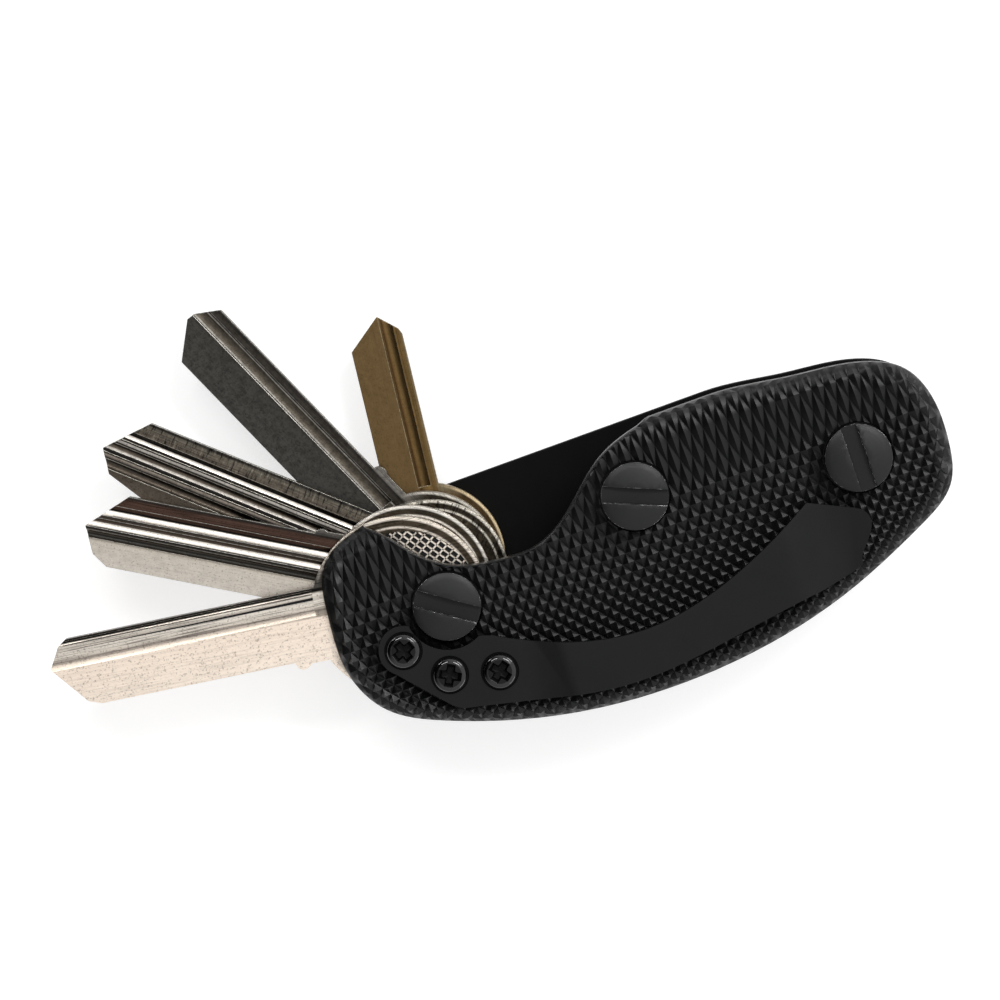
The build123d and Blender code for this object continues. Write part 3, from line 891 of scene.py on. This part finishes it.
# ---- build ----
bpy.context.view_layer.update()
plate_black = black_metal("plate_black", 0.003, 0.32, 0.06, 0.35, 0.25)
# Darker, duller black for the plates' inner faces and the notch strip: painted shade between the parts.
inside_shade_black = black_metal("inside_shade_black", 0.002, 0.5, 0.06, 0.2, 0.06)
head_black = black_metal("head_black", 0.006, 0.36, 0.1, 0.5, 0.31)
# Slightly darker, duller black for the floors of the heads' slots: painted shade.
slot_floor_shade = black_metal("slot_floor_shade", 0.004, 0.4, 0.1, 0.6, 0.24)
# Near-black for the clip screws' cross recesses and the ring round each clip screw: painted shade.
recess_shade_black = black_metal("recess_shade_black", 0.002, 0.45, 0.1, 0.5, 0.1)
clip_black = black_metal("clip_black", 0.003, 0.36, 0.05, 0.12, 0.2)
screw_gloss = black_metal("screw_gloss", 0.001, 0.07, 0.03, 0.1, 0.6)
screw_black = black_metal("screw_black", 0.001, 0.2, 0.05, 0.2, 0.22)
brass = turned_metal("washer_brass", (0.45, 0.33, 0.15), (0.72, 0.56, 0.3))
steel = turned_metal("spacer_steel", (0.34, 0.33, 0.32), (0.55, 0.54, 0.52))
worn = worn_edge()

rear_out, rear_in = (corner.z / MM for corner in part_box("rear_plate"))
front_in, front_out = (corner.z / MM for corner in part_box("front_plate"))
outline = anticlockwise(flat_loops("rear_plate", rear_in)[0])
for node, z_out, z_in in (("front_plate", front_out, front_in), ("rear_plate", rear_out, rear_in)):
    shell = Plate(node, z_out, z_in, outline).build(f"{node}_knurled")
    shell.data.materials.append(plate_black)
    shell.data.materials.append(inside_shade_black)
    # The inner faces and, on the front plate, the notch strip take the darker black: painted shade.
    for face in shell.data.polygons:
        face.material_index = int(abs(face.center.z / MM - z_in) < 0.01)
        if node == "front_plate" and in_notch_shade(face.center / MM):
            face.material_index = 1
    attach(shell, "frame")
    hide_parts(node)

for post in ("pivot", "middle", "end"):
    # Faces below a little over the plate's top, the slot floor among them, take the darker black: painted
    # shade.
    dress(f"{post}_screw", head_black, 0.12, edge=worn, sunk=(slot_floor_shade, below(front_out + 0.2)))
    dress(f"{post}_barrel", head_black, 0.12, edge=worn)
for node in ("middle_spacer", "end_spacer"):
    dress(node, steel)
for number in range(1, 7):
    dress(f"key_washer_{number}", brass, 0.05)
for number, turn in enumerate(SCREW_TURNS, 1):
    build_clip_screw(number, turn, screw_gloss, screw_black, recess_shade_black)
panel_dark = black_metal("panel_dark", 0.012, 0.5, 0.1, 0.5, 0.1)
for name, look in KEY_LOOKS.items():
    metal = key_metal(name, **look)
    # Each key's softened edges take a lighter copy of its tint: painted highlight.
    edge_highlight_paint = key_edge_highlight(f"{name}_edge", tuple(EDGE_HIGHLIGHT_SHARE[name] * c for c in look["tint"]))
    sunk = None
    if name == "key_1":
        sunk = (panel_dark, upward_at(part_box(name)[1].z / MM - PANEL_DEPTH))
        front_edge_highlight = edge_highlight_paint
    dress(name, metal, 0.22, 28, edge=edge_highlight_paint, sunk=sunk)
build_clip(clip_black, recess_shade_black)
# The crosshatch ridges take key_1's edge material, with its painted highlight.
build_crosshatch(front_edge_highlight)


# ---- studio ----
LAMPS = (
    # name, direction from the object, distance, width, height, power
    ("key_light", (0.86, 0.46, 0.21), 0.7, 0.3, 0.2, 1.2),
    ("top_light", (0.47, 0.25, 0.85), 0.8, 0.25, 0.25, 0.45),
    ("rim_light", (-0.42, 0.9, 0.16), 0.7, 0.2, 0.07, 0.5),
    ("low_fill", (0.5, -0.85, 0.2), 0.7, 0.4, 0.1, 0.5),
    ("glint_left", (-0.1, 0.55, 0.83), 0.7, 0.22, 0.07, 1.1),
    ("glint_right", (0.43, 0.36, 0.83), 0.7, 0.22, 0.07, 1.1),
)
DARK_SIDE, DARK_EDGES = (-0.7, 0.56, 0.45), ((0.46, 1.0), (0.84, 0.01))
LIGHT_SIDE, LIGHT_GAIN, LIGHT_BASE = (0.8, 0.3, 0.5), 0.25, 0.9
FLOOR_SIZE = 4.0


def floor():
    mesh = bmesh.new()
    bmesh.ops.create_grid(mesh, x_segments=2, y_segments=2, size=FLOOR_SIZE)
    ground = finish_mesh(mesh, "floor", 30)
    paint = Paint("floor_white", Roughness=0.6, Specular_IOR_Level=0.1, Emission_Strength=0.62)
    cloud = paint.noise(paint.place(), 0.01)
    paint.colour(paint.ramp(cloud, [(0.0, 0.51), (1.0, 0.53)]))
    paint.shader.inputs["Emission Color"].default_value = (1, 1, 1, 1)
    ground.data.materials.append(paint.material)
    ground.location.z = -0.0001


def softbox(name, toward, distance, width, height, power, target):
    """Rectangular lamp in the given direction from the target, facing it."""
    light = bpy.data.lights.new(name, "AREA")
    light.shape = "RECTANGLE"
    light.size, light.size_y = width, height
    light.energy = power
    lamp = bpy.data.objects.new(name, light)
    bpy.context.scene.collection.objects.link(lamp)
    direction = Vector(toward).normalized()
    lamp.location = target + direction * distance
    lamp.rotation_mode = "QUATERNION"
    lamp.rotation_quaternion = direction.to_track_quat("Z", "Y")
    return lamp


def sky():
    """White studio, brighter on one side; its dark side shades the left faces of the knurling."""
    world = bpy.data.worlds.new("studio")
    bpy.context.scene.world = world
    world.use_nodes = True
    tree = world.node_tree
    back = tree.nodes["Background"]
    coords = tree.nodes.new("ShaderNodeTexCoord")

    def toward(direction):
        spot = tree.nodes.new("ShaderNodeVectorMath")
        spot.operation = "DOT_PRODUCT"
        spot.inputs[1].default_value = Vector(direction).normalized()
        tree.links.new(coords.outputs["Generated"], spot.inputs[0])
        return spot.outputs["Value"]

    ramp = tree.nodes.new("ShaderNodeValToRGB")
    for element, (place, grey) in zip(ramp.color_ramp.elements, DARK_EDGES):
        element.position = place
        element.color = (grey, grey, grey, 1)
    tree.links.new(toward(DARK_SIDE), ramp.inputs[0])
    tree.links.new(ramp.outputs[0], back.inputs["Color"])
    slope = tree.nodes.new("ShaderNodeMath")
    slope.operation = "MULTIPLY_ADD"
    slope.inputs[1].default_value, slope.inputs[2].default_value = LIGHT_GAIN, LIGHT_BASE
    tree.links.new(toward(LIGHT_SIDE), slope.inputs[0])
    tree.links.new(slope.outputs[0], back.inputs["Strength"])


def camera():
    """Long lens almost straight above, rolled so that the body rises to the right."""
    roll, tilt, yaw = math.radians(19.9), math.radians(3.4), math.radians(0.5)
    turn = Matrix.Rotation(tilt, 3, "X") @ Matrix.Rotation(yaw, 3, "Y") @ Matrix.Rotation(roll, 3, "Z")
    pivot_top = Vector((0.0, 0.0, 20.6)) * MM
    seen_at = Vector((-7.02, -14.17, -600.0)) * MM
    shift = seen_at - turn @ pivot_top
    lens = bpy.data.cameras.new("camera")
    lens.sensor_width, sensor_widths = 36.0, 4.53
    lens.lens = 36.0 * sensor_widths
    eye = bpy.data.objects.new("camera", lens)
    bpy.context.scene.collection.objects.link(eye)
    back = turn.transposed()
    eye.matrix_world = Matrix.Translation(back @ -shift) @ back.to_4x4()
    bpy.context.scene.camera = eye


floor()
sky()
middle = Vector((0.02, 0.0, 0.01))
for lamp in LAMPS:
    softbox(*lamp, middle)
camera()
bpy.context.scene.view_settings.view_transform = "Standard"
